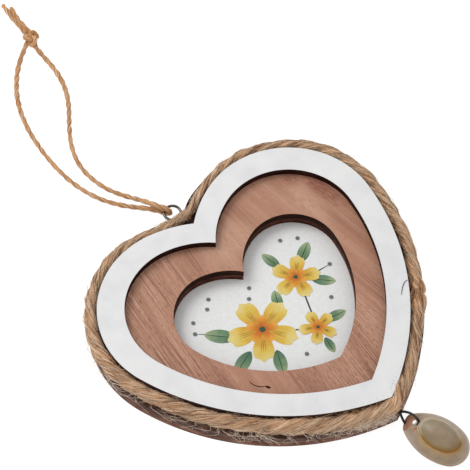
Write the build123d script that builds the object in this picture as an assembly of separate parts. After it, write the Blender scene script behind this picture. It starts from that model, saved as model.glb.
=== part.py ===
from build123d import *
import os
from math import acos, atan2, cos, hypot, pi, radians, sin, sqrt, tan

# A heart shaped hanging picture frame that lies on its back. +Z is out of its face, +Y towards
# the cleft, +X to the right as seen from the front. The origin is on the back face. Millimetres.

# Front panel: outer heart
front_width = 110.0
front_top = 54.0
front_cleft = 45.6
front_tip = -47.5
front_lobe_radius = 31.7
front_thickness = 3.0

# Front panel: heart window, through which the middle panel shows
window_width = 92.4
window_top = 45.3
window_cleft = 34.7
window_tip = -38.5
window_lobe_radius = 24.3

# Middle panel: heart window, through which the picture shows
picture_width = 66.3
picture_top = 30.6
picture_cleft = 21.1
picture_tip = -24.4
picture_lobe_radius = 16.4
middle_thickness = 3.0

# Angles on each lobe's circle where it passes into the cleft arc and into the flank arc
lobe_start_angle = 105.7
lobe_end_angle = -13.8

# Spacer ring and back board: a larger heart, which leaves the ledge that carries the rope. The ledge
# has its own width at the sides, the top, the cleft and the tip, and rounder lobes than the panels.
ledge_side = 4.3
ledge_top = 4.8
ledge_cleft = 5.47
ledge_tip = 3.6
ledge_lobe_growth = 7.1
spacer_thickness = 3.0
spacer_setback = 0.3
back_thickness = 3.0
card_thickness = 0.4
card_clearance = 0.25

# Rope round the rim
rope_diameter = 4.6
rope_gap = 0.25
rope_lift = 0.1
rope_press_gap = 0.05
rope_cleft_radius = 12.0
rope_tip_radius = 5.0
rope_tip_setback = 1.5
rope_splice_angle = -43.0
rope_end_gap = 0.3

# Screw eye in the spacer's edge at the cleft
eye_offset = 0.8
eye_ring_radius = 2.9
eye_wire = 1.0
eye_neck = 2.0
eye_side_gap = 0.3
eye_shank = 1.3
eye_shank_depth = 7.0
eye_point = 2.0
eye_point_diameter = 0.3

# Hanging loop of twine through the eye
twine_diameter = 1.7
twine_wrap_gap = 0.15
loop_heading = 25.0
loop_first_run = 4.2
knot_across = 6.4
knot_along = 7.2
knot_height = 4.6
knot_place = (16.2, 93.2)

# Share of the shorter run beside a bend that the bend's arc takes up
bend_share = 0.45

# Route of each strand from the eye to the knot and of each cut end beyond it. A point is
# its place in plan from the eye's centre and the twine's height above the floor.
left_route = [
    (-6.8, 11.8, 1.45),
    (-10.4, 18.0, 0.45),
    (-13.3, 25.1, 0.0),
    (-15.0, 33.6, 0.0),
    (-15.2, 42.1, 0.0),
    (-14.1, 51.6, 0.0),
    (-12.0, 61.1, 0.0),
    (-8.8, 70.1, 0.0),
    (-4.0, 78.4, 0.0),
    (2.4, 85.4, 0.0),
    (9.2, 90.4, 0.0),
    (14.7, 93.2, 0.4),
]
right_route = [
    (-3.8, 10.6, 3.75),
    (-6.0, 17.1, 1.75),
    (-8.3, 24.6, 0.25),
    (-9.2, 33.1, 0.0),
    (-8.0, 41.2, 0.0),
    (-4.4, 48.4, 0.0),
    (0.6, 54.8, 0.0),
    (6.4, 61.2, 0.0),
    (10.8, 68.2, 0.0),
    (13.4, 75.8, 0.0),
    (14.4, 83.6, 0.0),
    (15.0, 90.1, 0.6),
]
left_tail_route = [(15.9, 94.0, 0.5), (16.9, 100.6, 0.0), (17.5, 106.6, 0.0), (19.3, 112.7, 0.0)]
right_tail_route = [(17.8, 94.2, 0.8), (19.1, 100.2, 0.2), (20.1, 105.4, 0.0), (21.2, 109.6, 0.0)]

# Pendant at the tip: its knot, its cord and the shell
pendant_heading = 10.8
cord_diameter = 0.76
tie_diameter = 1.6
tie_gap = 0.1
anchor_length = 2.6
shell_length = 24.2
shell_near_radius = 3.0
shell_far_radius = 6.75
shell_flank_radius = 19.0
shell_dome = 8.8
shell_base = 3.35
shell_base_flat = 0.15
shell_reach = 1.7
shell_cut_start = 3.6
shell_cut_angle = 40.0
shell_hole = 2.0
cord_loop_radius = 2.7
cord_loop_inset = 2.3
cord_loop_height = 3.9
cord_channel_gap = 0.24
aperture_width = 1.3
aperture_depth = 2.6

spacer_z = back_thickness
ledge_z = spacer_z + spacer_thickness
front_z = ledge_z + middle_thickness
rope_radius = rope_diameter / 2
twine_radius = twine_diameter / 2
cord_radius = cord_diameter / 2
tie_radius = tie_diameter / 2


def around(centre, radius, angle):
    return (centre[0] + radius * cos(angle), centre[1] + radius * sin(angle))


def mirrored(point):
    return (-point[0], point[1])


class Heart:
    # Half of the outline is three tangent arcs: cleft arc, lobe and flank arc. The cleft arc and
    # the flank arc leave the lobe tangentially and meet the axis at the cleft and at the tip.
    def __init__(self, width, top, cleft, tip, lobe_radius):
        self.start = radians(lobe_start_angle)
        self.end = radians(lobe_end_angle)
        self.lobe = (width / 2 - lobe_radius, top - lobe_radius)
        self.lobe_radius = lobe_radius
        self.cleft_arc, self.cleft_radius = self.tangent_arc(self.start, cleft)
        self.flank_arc, self.flank_radius = self.tangent_arc(self.end, tip)

    def tangent_arc(self, angle, axis_y):
        leaves = around(self.lobe, self.lobe_radius, angle)
        dx, dy = -leaves[0], axis_y - leaves[1]
        radius = -(dx * dx + dy * dy) / (2 * (dx * cos(angle) + dy * sin(angle)))
        return around(leaves, -radius, angle), radius

    def cleft_y(self, grow=0.0):
        return self.cleft_arc[1] + sqrt((self.cleft_radius + grow) ** 2 - self.cleft_arc[0] ** 2)

    def tip_y(self, grow=0.0):
        return self.flank_arc[1] - sqrt((self.flank_radius + grow) ** 2 - self.flank_arc[0] ** 2)

    def face(self, grow=0.0):
        cleft, tip = (0, self.cleft_y(grow)), (0, self.tip_y(grow))
        half = self.half_arcs(grow, cleft, tip)
        return make_face(arcs_of(half) + arcs_of(mirror_arcs(half)))

    def half_arcs(self, grow, cleft, tip):
        from_cleft = atan2(cleft[1] - self.cleft_arc[1], cleft[0] - self.cleft_arc[0])
        to_tip = atan2(tip[1] - self.flank_arc[1], tip[0] - self.flank_arc[0])
        return [
            (self.cleft_arc, self.cleft_radius + grow, from_cleft, self.start),
            (self.lobe, self.lobe_radius + grow, self.start, self.end),
            (self.flank_arc, self.flank_radius + grow, self.end, to_tip),
        ]

    # The same outline with its cleft and tip rounded, as a rope goes round it
    def rounded_half(self, grow, cleft_round, tip_round):
        reach = self.cleft_radius + grow + cleft_round
        above = (0, self.cleft_arc[1] + sqrt(reach**2 - self.cleft_arc[0] ** 2))
        inside = self.flank_radius + grow - tip_round
        below = (0, self.flank_arc[1] - sqrt(inside**2 - self.flank_arc[0] ** 2))
        cleft_turn = atan2(self.cleft_arc[1] - above[1], self.cleft_arc[0])
        tip_turn = atan2(below[1] - self.flank_arc[1], -self.flank_arc[0])
        meets_cleft = around(above, cleft_round, cleft_turn)
        meets_tip = around(below, tip_round, tip_turn)
        return [
            (above, cleft_round, -pi / 2, cleft_turn),
            *self.half_arcs(grow, meets_cleft, meets_tip),
            (below, tip_round, tip_turn, -pi / 2),
        ]


def arcs_of(arcs):
    edges = []
    for centre, radius, start, end in arcs:
        stops = [around(centre, radius, start + (end - start) * share) for share in (0, 0.5, 1)]
        edges.append(ThreePointArc(*stops))
    return edges


def mirror_arcs(arcs):
    return [(mirrored(centre), radius, pi - end, pi - start) for centre, radius, start, end in arcs[::-1]]


front = Heart(front_width, front_top, front_cleft, front_tip, front_lobe_radius)
base = Heart(
    front_width + 2 * ledge_side,
    front_top + ledge_top,
    front_cleft + ledge_cleft,
    front_tip - ledge_tip,
    front_lobe_radius + ledge_lobe_growth,
)
rope_line = Heart(front_width, front_top, front_cleft, front_tip + rope_tip_setback, front_lobe_radius)
window = Heart(window_width, window_top, window_cleft, window_tip, window_lobe_radius)
picture = Heart(picture_width, picture_top, picture_cleft, picture_tip, picture_lobe_radius)


def layer(sketch, z, thickness):
    return Pos(0, 0, z) * extrude(sketch, thickness)


# Tube along straight runs joined by tangent arcs, each as large as its two runs allow
def cord_path(points):
    places = [Vector(*p) for p in points]
    radii = []
    for before, here, after in zip(places, places[1:], places[2:]):
        run = min((here - before).length, (after - here).length)
        turn = radians((here - before).get_angle(after - here))
        radii.append(bend_share * run / tan(turn / 2))
    return FilletPolyline(*places, radius=radii), radii


def tube(name, path, diameter, radii):
    section = Plane(path @ 0, z_dir=path % 0) * Circle(diameter / 2)
    solid = sweep(section, path=path)
    full = pi * diameter**2 / 4 * path.length
    bends = ", ".join(f"{r:.1f}" for r in radii)
    print(f"{name}: length {path.length:.1f}, volume {solid.volume / full:.4f} of section times length")
    print(f"  radii {bends}")
    return solid


# Plywood layers and the card
outline = front.face()
base_outline = base.face()
front_panel = layer(outline - window.face(), front_z, front_thickness)
middle_panel = layer(outline - picture.face(), ledge_z, middle_thickness)
spacer_ring = layer(base_outline - picture.face(spacer_setback), spacer_z, spacer_thickness)
back_board = layer(base_outline, 0, back_thickness)
picture_card = layer(picture.face(spacer_setback - card_clearance), back_thickness, card_thickness)

# Screw eye, driven into the middle of the spacer's edge, with its ring clear of the cleft's sides
eye_ring_outside = eye_ring_radius + eye_wire / 2
beside_cleft_arc = base.cleft_arc[0] - abs(eye_offset)
base_edge_y = base.cleft_arc[1] + sqrt(base.cleft_radius**2 - beside_cleft_arc**2)
clear_of_sides = base.cleft_radius + eye_side_gap + eye_ring_outside
lowest_eye_y = base.cleft_arc[1] + sqrt(clear_of_sides**2 - beside_cleft_arc**2)
eye_y = max(base_edge_y + eye_neck + eye_ring_outside, lowest_eye_y)
eye_z = spacer_z + spacer_thickness / 2
shank_end = base_edge_y - eye_shank_depth
along_shank = Pos(eye_offset, 0, eye_z) * Rot(90, 0, 0)
shank_start = eye_y - eye_ring_radius
shank_length = shank_start - shank_end - eye_point
to_middle = Pos(0, 0, -shank_start + shank_length / 2)
to_point = Pos(0, 0, -shank_end - eye_point / 2)
shank = along_shank * to_middle * Cylinder(eye_shank / 2, shank_length)
shank += along_shank * to_point * Cone(eye_shank / 2, eye_point_diameter / 2, eye_point)
screw_eye = Pos(eye_offset, eye_y, eye_z) * Torus(eye_ring_radius, eye_wire / 2) + shank
spacer_ring -= shank

# Rope on the ledge, open where its ends meet on the right flank, pressed flat by the panels at the tip
rope_offset = rope_gap + rope_radius
rope_half = rope_line.rounded_half(rope_offset, rope_cleft_radius, rope_tip_radius)
flank_index = 3
flank_centre, flank_path_radius, flank_start, flank_end = rope_half[flank_index]
half_gap = rope_end_gap / 2 / flank_path_radius
splice = radians(rope_splice_angle)
past_splice = (flank_centre, flank_path_radius, splice - half_gap, flank_end)
up_to_splice = (flank_centre, flank_path_radius, flank_start, splice + half_gap)
right_side = rope_half[:flank_index]
tip_turn = rope_half[flank_index + 1]
rope_arcs = [past_splice, tip_turn, *mirror_arcs(rope_half), *right_side, up_to_splice]
rope_z = ledge_z + rope_lift + rope_radius
rope_path = Pos(0, 0, rope_z) * Wire(arcs_of(rope_arcs))
rim_rope = tube("rim_rope", rope_path, rope_diameter, [arc[1] for arc in rope_arcs])
rim_rope -= layer(front.face(rope_press_gap), ledge_z, middle_thickness + front_thickness)

# Hanging loop: each strand starts inside the eye, bends round its wire and runs to the knot
heading = Vector(-sin(radians(loop_heading)), cos(radians(loop_heading)), 0)
up = Vector(0, 0, 1)
eye_centre = Vector(eye_offset, eye_y, eye_z)
wire_centre = eye_centre + heading * eye_ring_radius
wrap_radius = eye_wire / 2 + twine_wrap_gap + twine_radius


def routed(route):
    return [(eye_offset + x, eye_y + y, twine_radius + lift) for x, y, lift in route]


def strand(name, route, side):
    inside = wire_centre - heading * wrap_radius
    quarter = wire_centre + (up * side - heading) * (wrap_radius * sqrt(0.5))
    over = wire_centre + up * (side * wrap_radius)
    first = over + heading * loop_first_run
    run, radii = cord_path([over, first, *routed(route)])
    path = Wire([ThreePointArc(inside, quarter, over), *run.edges()])
    return tube(name, path, twine_diameter, [wrap_radius, *radii])


def tail(name, route):
    run, radii = cord_path(routed(route))
    return tube(name, Wire(run.edges()), twine_diameter, radii)


knot_centre = Pos(eye_offset + knot_place[0], eye_y + knot_place[1], knot_height / 2)
loop_knot = knot_centre * scale(Sphere(1), by=(knot_across / 2, knot_along / 2, knot_height / 2))
loop_left_strand = strand("loop_left_strand", left_route, -1) - loop_knot
loop_right_strand = strand("loop_right_strand", right_route, 1) - loop_knot
loop_tail_left = tail("loop_tail_left", left_tail_route) - loop_knot
loop_tail_right = tail("loop_tail_right", right_tail_route) - loop_knot

# Pendant's knot, past the rope's turn round the tip and past the ledge's edge, where its cord hangs
tie_z = ledge_z + tie_radius + tie_gap
tip_turn_centre, tip_turn_radius = tip_turn[:2]
rope_tip_y = tip_turn_centre[1] - tip_turn_radius
tie_clear = rope_radius + tie_radius + tie_gap
past_rope_y = rope_tip_y - sqrt(tie_clear**2 - (rope_z - tie_z) ** 2)
past_edge_y = base.tip_y() - cord_radius - tie_gap
tie_y = min(past_rope_y, past_edge_y)

# End of the pendant's cord, on the ledge under the rope, which is pressed over it
anchor_start = tie_y + tie_radius + tie_gap
anchor_z = ledge_z + cord_radius
cord_anchor = Pos(0, anchor_start + anchor_length / 2, anchor_z) * Rot(90, 0, 0) * Cylinder(
    cord_radius, anchor_length
)
rim_rope -= cord_anchor

# Pendant, made along +X from its knot and then turned to its heading
to_pendant = Pos(0, tie_y, 0) * Rot(0, 0, pendant_heading - 90)
pendant_knot = Pos(0, 0, tie_z) * Sphere(tie_radius)

# The cord runs from the knot round the shell's end, in a circle that both straights touch
loop_x = shell_reach + cord_loop_inset
rise = tie_z - cord_loop_height
to_knot = atan2(rise, -loop_x)
spread = acos(cord_loop_radius / hypot(rise, loop_x))
touches = [to_knot - spread, to_knot + spread]


def on_loop(angle):
    x, z = around((loop_x, cord_loop_height), cord_loop_radius, angle)
    return Vector(x, 0, z)


far_side = (touches[0] + touches[1]) / 2 + pi
knot_middle = Vector(0, 0, tie_z)
over_strand = Line(knot_middle, on_loop(touches[0]))
round_end = ThreePointArc(on_loop(touches[0]), on_loop(far_side), on_loop(touches[1]))
under_strand = Line(on_loop(touches[1]), knot_middle)
pendant_path = Wire([over_strand, round_end, under_strand])
pendant_cord = tube("pendant_cord", pendant_path, cord_diameter, [cord_loop_radius]) - pendant_knot


# Egg outline of the shell: two end circles joined by flank arcs, narrow at the cut end
def egg():
    near = (-shell_length / 2 + shell_near_radius, 0)
    far = (shell_length / 2 - shell_far_radius, 0)
    span = far[0] - near[0]
    near_reach = shell_flank_radius - shell_near_radius
    far_reach = shell_flank_radius - shell_far_radius
    along = (near_reach**2 - far_reach**2 + span**2) / (2 * span)
    flank = (near[0] + along, -sqrt(near_reach**2 - along**2))
    near_turn = atan2(near[1] - flank[1], near[0] - flank[0])
    far_turn = atan2(far[1] - flank[1], far[0] - flank[0])
    arcs = [
        (near, shell_near_radius, pi, near_turn),
        (flank, shell_flank_radius, near_turn, far_turn),
        (far, shell_far_radius, far_turn, 0),
    ]
    half_width = flank[1] + shell_flank_radius
    axis_line = Line((shell_length / 2, 0), (-shell_length / 2, 0))
    return revolve(make_face(arcs_of(arcs) + [axis_line]), Axis.X), half_width


egg_solid, shell_half_width = egg()
dome = split(scale(egg_solid, by=(1, 1, shell_dome / shell_half_width)), Plane.XY, keep=Keep.TOP)
belly = split(scale(egg_solid, by=(1, 1, shell_base / shell_half_width)), Plane.XY, keep=Keep.BOTTOM)
margin_z = shell_base - shell_base_flat
shell_middle = shell_reach + shell_length / 2
cowrie_shell = Pos(shell_middle, 0, margin_z) * (dome + belly)
cowrie_shell = split(cowrie_shell, Plane.XY, keep=Keep.TOP)

# The ground end: a slanting cut, the hole behind it and the channel that the cord runs in
cut_angle = radians(shell_cut_angle)
cut_plane = Plane((shell_reach, 0, shell_cut_start), z_dir=(-sin(cut_angle), 0, cos(cut_angle)))
cowrie_shell = split(cowrie_shell, cut_plane, keep=Keep.BOTTOM)
hole_x = loop_x + cord_loop_radius
cowrie_shell -= Pos(hole_x, 0, cord_loop_height + shell_dome / 2) * Cylinder(shell_hole / 2, shell_dome)
channel = Torus(cord_loop_radius, cord_radius + cord_channel_gap)
cowrie_shell -= Pos(loop_x, 0, cord_loop_height) * Rot(90, 0, 0) * channel
slot_length = shell_length - 2 * shell_far_radius
cowrie_shell -= Pos(shell_middle, 0, aperture_depth / 2) * Box(slot_length, aperture_width, aperture_depth)

nodes = {
    "back_board": back_board,
    "spacer_ring": spacer_ring,
    "middle_panel": middle_panel,
    "front_panel": front_panel,
    "picture_card": picture_card,
    "rim_rope": rim_rope,
    "screw_eye": screw_eye,
    "loop_left_strand": loop_left_strand,
    "loop_right_strand": loop_right_strand,
    "loop_knot": loop_knot,
    "loop_tail_left": loop_tail_left,
    "loop_tail_right": loop_tail_right,
    "cord_anchor": cord_anchor,
    "pendant_knot": to_pendant * pendant_knot,
    "pendant_cord": to_pendant * pendant_cord,
    "cowrie_shell": to_pendant * cowrie_shell,
}

os.makedirs("parts", exist_ok=True)
for name, solid in nodes.items():
    export_step(solid, f"parts/{name}.step")
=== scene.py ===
import bmesh
import bpy
import math
import random
from mathutils import Matrix, Vector, noise


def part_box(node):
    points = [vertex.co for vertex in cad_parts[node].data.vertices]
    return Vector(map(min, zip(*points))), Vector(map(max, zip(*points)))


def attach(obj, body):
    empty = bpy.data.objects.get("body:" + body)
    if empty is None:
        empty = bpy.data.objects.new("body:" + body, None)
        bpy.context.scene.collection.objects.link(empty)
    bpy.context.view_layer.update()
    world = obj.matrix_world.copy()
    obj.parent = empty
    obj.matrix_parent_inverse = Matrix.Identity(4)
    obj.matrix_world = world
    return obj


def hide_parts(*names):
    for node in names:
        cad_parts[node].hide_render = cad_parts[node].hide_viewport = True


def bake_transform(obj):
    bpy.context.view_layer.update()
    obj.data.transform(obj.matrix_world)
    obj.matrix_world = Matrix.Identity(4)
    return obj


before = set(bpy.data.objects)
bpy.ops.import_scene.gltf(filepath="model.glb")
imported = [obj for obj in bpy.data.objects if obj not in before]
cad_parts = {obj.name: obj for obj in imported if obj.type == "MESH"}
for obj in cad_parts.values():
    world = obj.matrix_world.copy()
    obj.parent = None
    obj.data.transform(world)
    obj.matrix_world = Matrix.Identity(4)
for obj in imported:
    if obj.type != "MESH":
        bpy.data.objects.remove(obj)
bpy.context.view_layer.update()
mm = 0.001
weldMm = 0.0005
fullTurn = 2 * math.pi
zAxis = Vector((0, 0, 1))
print("frame loaded:", len(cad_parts), "nodes")


# Small helpers for materials

def linear(hexColour):
    shares = [int(hexColour[i : i + 2], 16) / 255 for i in (1, 3, 5)]
    return [s / 12.92 if s < 0.04045 else ((s + 0.055) / 1.055) ** 2.4 for s in shares] + [1.0]


def addNode(tree, kind, sets=None, stops=None):  # a value that is a socket is linked, any other is set
    node = tree.nodes.new("ShaderNode" + kind)
    for key, value in (sets or {}).items():
        if isinstance(value, bpy.types.NodeSocket):
            tree.links.new(value, node.inputs[key])
        elif isinstance(key, str) and hasattr(node, key):
            setattr(node, key, value)
        else:
            node.inputs[key].default_value = value
    if stops:
        elements = node.color_ramp.elements
        elements.remove(elements[1])
        elements[0].position, elements[0].color = stops[0][0], linear(stops[0][1])
        for place, colour in stops[1:]:
            elements.new(place).color = linear(colour)
    return node


def newMaterial(name, sockets):
    material = bpy.data.materials.new(name)
    material.use_nodes = True
    tree = material.node_tree
    for key, value in sockets.items():
        tree.nodes["Principled BSDF"].inputs[key].default_value = value
    return material, tree


def dress(tree, colour, height=None, depth=0.0, strength=1.0):  # colour and bump, its depth in mm
    shader = tree.nodes["Principled BSDF"]
    tree.links.new(colour, shader.inputs["Base Color"])
    if height:
        bump = addNode(tree, "Bump", {"Strength": strength, "Distance": depth * mm, "Height": height})
        tree.links.new(bump.outputs["Normal"], shader.inputs["Normal"])


def objectPlace(tree):
    return addNode(tree, "TexCoord").outputs["Object"]


def ramp(tree, share, stops):
    return addNode(tree, "ValToRGB", {"Fac": share}, stops).outputs["Color"]


def maths(tree, operation, *terms):
    return addNode(tree, "Math", {"operation": operation, **dict(enumerate(terms))}).outputs[0]


def remap(tree, value, start, end, first=0.0, last=1.0, kind="LINEAR"):
    sets = {"interpolation_type": kind, 0: value, 1: start, 2: end, 3: first, 4: last}
    return addNode(tree, "MapRange", sets).outputs[0]


def mixValues(tree, share, first, second):
    return addNode(tree, "Mix", {"data_type": "FLOAT", 0: share, 2: first, 3: second}).outputs[0]


def mixColours(tree, share, first, second, blend="MIX"):
    sets = {"data_type": "RGBA", "blend_type": blend, 0: share, 6: first, 7: second}
    return addNode(tree, "Mix", sets).outputs[2]


def perMm(*sizes):  # pattern sizes in mm to noise scales for coordinates in metres
    scales = [1 / (size * mm) for size in sizes]
    return scales if len(scales) > 1 else scales[0]


def grained(tree, place, scale, detail, **sets):  # noise of one scale, or of one scale for each axis
    if not isinstance(scale, float):
        place = addNode(tree, "Mapping", {"Scale": scale, "Vector": place}).outputs["Vector"]
        scale = 1.0
    sets = {"Scale": scale, "Detail": detail, "Vector": place, **sets}
    return addNode(tree, "TexNoise", sets).outputs["Fac"]


def ovalReach(tree, place, middle, reach, unit=1):  # 0 in an upright oval's middle, 1 at its wall
    sets = {"Location": [c * unit for c in middle] + [0], "Scale": [r * unit for r in reach] + [1e6]}
    spot = addNode(tree, "Mapping", {"vector_type": "TEXTURE", **sets, "Vector": place}).outputs["Vector"]
    return addNode(tree, "VectorMath", {"operation": "LENGTH", 0: spot}).outputs["Value"]


def cloudyFinish(name, sockets, tone, stops, bump=None):
    # the noise by its size in mm and its detail, and for the bump also depth and strength
    material, tree = newMaterial(name, sockets)
    place = objectPlace(tree)
    colour = ramp(tree, grained(tree, place, perMm(tone[0]), tone[1]), stops)
    if bump:
        sizeMm, detail, depth, strength = bump
        dress(tree, colour, grained(tree, place, perMm(sizeMm), detail), depth, strength)
    else:
        dress(tree, colour)
    return material


# Small helpers for meshes and pieces

def only(kind, geom):
    return [g for g in geom if isinstance(g, kind)]


def weld(bm):
    bmesh.ops.remove_doubles(bm, verts=bm.verts[:], dist=weldMm * mm)


def faceOutward(bm):
    bmesh.ops.recalc_face_normals(bm, faces=bm.faces[:])


def raiseFaces(bm, height):
    raised = bmesh.ops.extrude_face_region(bm, geom=bm.faces[:])["geom"]
    bmesh.ops.translate(bm, verts=only(bmesh.types.BMVert, raised), vec=(0, 0, height))


def soften(bm, edges, radius, segments):
    bmesh.ops.bevel(
        bm, geom=edges, offset=radius * mm, offset_type="OFFSET", segments=segments, profile=0.5,
        affect="EDGES", material=-1, clamp_overlap=True,
    )


def smoothFaces(bm):
    for face in bm.faces:
        face.smooth = True


def meshOf(name, bm):
    mesh = bpy.data.meshes.new(name)
    bm.to_mesh(mesh)
    bm.free()
    return mesh


def bakedMesh(thing):  # the mesh that a curve or a modified object makes, and the maker removed
    bpy.context.scene.collection.objects.link(thing)
    bpy.context.view_layer.update()
    mesh = bpy.data.meshes.new_from_object(thing.evaluated_get(bpy.context.evaluated_depsgraph_get()))
    bpy.data.objects.remove(thing)
    return mesh


def finishPiece(name, mesh, materials, body, replaced=()):
    if isinstance(mesh, bmesh.types.BMesh):
        mesh = meshOf(name, mesh)
    for material in materials[len(mesh.materials):]:
        mesh.materials.append(material)
    piece = bpy.data.objects.new(name, mesh)
    bpy.context.scene.collection.objects.link(piece)
    if isinstance(body, str):
        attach(piece, body)
    else:
        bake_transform(piece)
    if replaced:
        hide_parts(*replaced)
    return piece


def curveMesh(name, lines, kind="POLY", closed=False, taper=0.0, **settings):
    curve = bpy.data.curves.new(name, "CURVE")
    curve.dimensions = "3D"
    for key, value in settings.items():
        setattr(curve, key, value)
    for line in lines:
        spline, last = curve.splines.new(kind), len(line) - 1
        spline.points.add(last)
        spline.use_cyclic_u = closed
        for i, (place, point) in enumerate(zip(spline.points, line)):
            place.co = (*point, 1)
            place.radius = 1 - taper * abs(2 * i / last - 1) ** 3
        if kind == "NURBS":
            spline.order_u, spline.use_endpoint_u = 3, True
    return bakedMesh(bpy.data.objects.new(name, curve))


def splinePoints(name, route, resolution):
    mesh = curveMesh(name, [route], "NURBS", resolution_u=resolution)
    return [vert.co.copy() for vert in mesh.vertices]


def wireMesh(name, points, radius, sides, closed=False):  # a round wire or cord along a line, ends closed
    bevel = {"bevel_depth": radius * mm, "bevel_resolution": sides // 2 - 2, "use_fill_caps": True}
    mesh = curveMesh(name, [points], closed=closed, **bevel)
    mesh.shade_smooth()
    return mesh


def finishFibres(name, strands, thick, material, body="frame"):  # thin tapered tubes
    mesh = curveMesh(name, strands, taper=0.6, bevel_depth=thick / 2 * mm, bevel_resolution=0)
    return finishPiece(name, mesh, [material], body)


def inMetres(points):
    return [Vector(point) * mm for point in points]


# Materials of the plywood layers

def whiteEmulsion():
    # Emulsion rolled on plywood: an even, matt white with faint mottling and a fine stipple
    return cloudyFinish(
        "rolledWhiteEmulsion", {"Roughness": 0.6, "Specular IOR Level": 0.3}, (7, 5.0),
        [(0.3, "#E7E7E8"), (0.5, "#EDEDED"), (0.7, "#F1F1F0")], (0.7, 3.0, 0.03, 0.5),
    )


grain = {
    "bands": [(0.32, "#A87760"), (0.47, "#B8866D"), (0.66, "#C6967D")], "line": "#643526",
    # the ruddy tone is partly the wood's own, partly painted shade beside the white panel's wall
    "pale": "#DDB49B", "red": "#8A4B3A", "bump": (0.06, 0.5),  # depth of the lines in mm, strength
    "noises": ((6, 60, 4.0), (0.3, 26, 1.5), (0.24, 2.4, 2.0), (5, 30, 2.0)),  # mm across, along, detail
    "leanLeft": 0.21, "leanRight": -0.04, "turn": (-5, 35),  # sideways run per mm of length, where it turns
    "sway": (1.8, 55),  # how far the lines wander, and over what length
    "bundle": -42.0, "bundleReach": (0.6, 2.6),  # strong lines side by side, mm across the grain
    "fade": (-4, 30), "fadeSlope": 0.6, "faint": 0.38,  # to the right and up the lines grow fainter
    "darkLine": (0.52, 0.62, 0.0, 0.62), "paleLine": (0.48, 0.38, 0.0, 0.5),  # from noise to strength
    "pore": (0.54, 0.66, 0.0, 0.6), "mottle": (0.44, 0.58, 0.3, 1.0), "loose": (0.36, 0.62, 0.3, 1.0),
    "faintPore": 0.4,
    "calm": ((-24, -11), (15, 18), 0.8),  # middle, reach and strength of a plain stretch on the near flank
    "patchEdge": (0.2, 1.0),  # shares of the reach between which a patch fades
    "patches": [  # tone, middle, reach and strength: paler below the cleft and inside the far edge, whose ruddy patches are the wood's mottled tone with painted shade beside the white panel's wall
        ("pale", (5, 33), (15, 11), 0.6), ("pale", (35.5, 26), (6, 17), 0.6),
        ("red", (43, 26), (4.8, 14), 0.95), ("red", (38.5, 37.5), (6, 6), 0.8),
    ],
    "flaw": [  # a dark crack in the veneer of the near flank, and the small knot that it ends in
        (-27.9, -9.6), (-28.05, -10.7), (-27.9, -11.9), (-27.3, -13.2), (-26.5, -14.2), (-25.5, -14.8),
        (-25.1, -15.7),
    ],
    "knot": [(-25.5, -14.8), (-25.3, -15.25), (-25.1, -15.7), (-24.9, -16.15), (-24.7, -16.6)],
    "sunk": {"flaw": (0.08, 0.5), "knot": (0.3, 1.5)},  # depth of the middle line and thickness, in mm
}


def grainFlow(tree, place):  # across and along the grain, in metres, the lines fanning out to the right
    axes = addNode(tree, "SeparateXYZ", {"Vector": place}).outputs
    first, last = [edge * mm for edge in grain["turn"]]
    lean = remap(tree, axes["X"], first, last, -grain["leanLeft"], -grain["leanRight"], "SMOOTHSTEP")
    across = maths(tree, "MULTIPLY_ADD", axes["Y"], lean, axes["X"])
    flow = addNode(tree, "CombineXYZ", {"X": across, "Y": axes["Y"]}).outputs["Vector"]
    wander, reach = grain["sway"]
    sets = {"Scale": perMm(reach), "Detail": 2.0, "Vector": flow}
    drift = addNode(tree, "TexNoise", sets).outputs["Color"]
    sway = addNode(
        tree, "VectorMath", {"operation": "MULTIPLY_ADD", 0: drift, 1: (wander * mm, 0, 0), 2: flow}
    ).outputs["Vector"]
    slope = maths(tree, "MULTIPLY_ADD", axes["Y"], grain["fadeSlope"], axes["X"])
    first, last = [edge * mm for edge in grain["fade"]]
    return across, sway, remap(tree, slope, first, last, 1.0, grain["faint"])


def patchMask(tree, place, middle, reach, most):
    away = ovalReach(tree, place, middle, reach, mm)
    return remap(tree, away, *grain["patchEdge"], most, 0.0, "SMOOTHSTEP")


def brownVeneer():
    # Sanded okoume veneer: pinkish brown, fine dark and pale grain lines, short open pores, satin
    material, tree = newMaterial("sandedOkoumeVeneer", {"Roughness": 0.55, "Specular IOR Level": 0.3})
    place = objectPlace(tree)
    across, sway, clear = grainFlow(tree, place)
    figured = maths(tree, "SUBTRACT", 1.0, patchMask(tree, place, *grain["calm"]))
    clear = maths(tree, "MULTIPLY", clear, figured)
    bands, lines, pores, bundles = [
        grained(tree, sway, perMm(wide, long, long), detail) for wide, long, detail in grain["noises"]
    ]
    colour = ramp(tree, bands, grain["bands"])
    away = maths(tree, "ABSOLUTE", maths(tree, "ADD", across, -grain["bundle"] * mm))
    close, far = [reach * mm for reach in grain["bundleReach"]]
    thinned = maths(tree, "MULTIPLY", remap(tree, bundles, *grain["loose"]), clear)
    dense = maths(tree, "MAXIMUM", remap(tree, away, close, far, 1.0, 0.0), thinned)
    darkLine, paleLine = [
        maths(tree, "MULTIPLY", remap(tree, lines, *grain[kind]), dense)
        for kind in ("darkLine", "paleLine")
    ]
    shown = remap(tree, clear, grain["faint"], 1.0, grain["faintPore"], 1.0)
    pore = maths(tree, "MULTIPLY", remap(tree, pores, *grain["pore"]), shown)
    sunk = maths(tree, "MAXIMUM", darkLine, pore)
    mottle = remap(tree, pores, *grain["mottle"])
    tones = [(paleLine, "pale"), (sunk, "line")]
    # the ruddy patches along the white panel's wall are part wood tone, part painted shade
    for tone, *patch in grain["patches"]:
        tones.append((maths(tree, "MULTIPLY", mottle, patchMask(tree, place, *patch)), tone))
    for mask, tone in tones:
        colour = mixColours(tree, mask, colour, linear(grain[tone]))
    dress(tree, colour, maths(tree, "SUBTRACT", 1.0, sunk), *grain["bump"])
    return material


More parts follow.
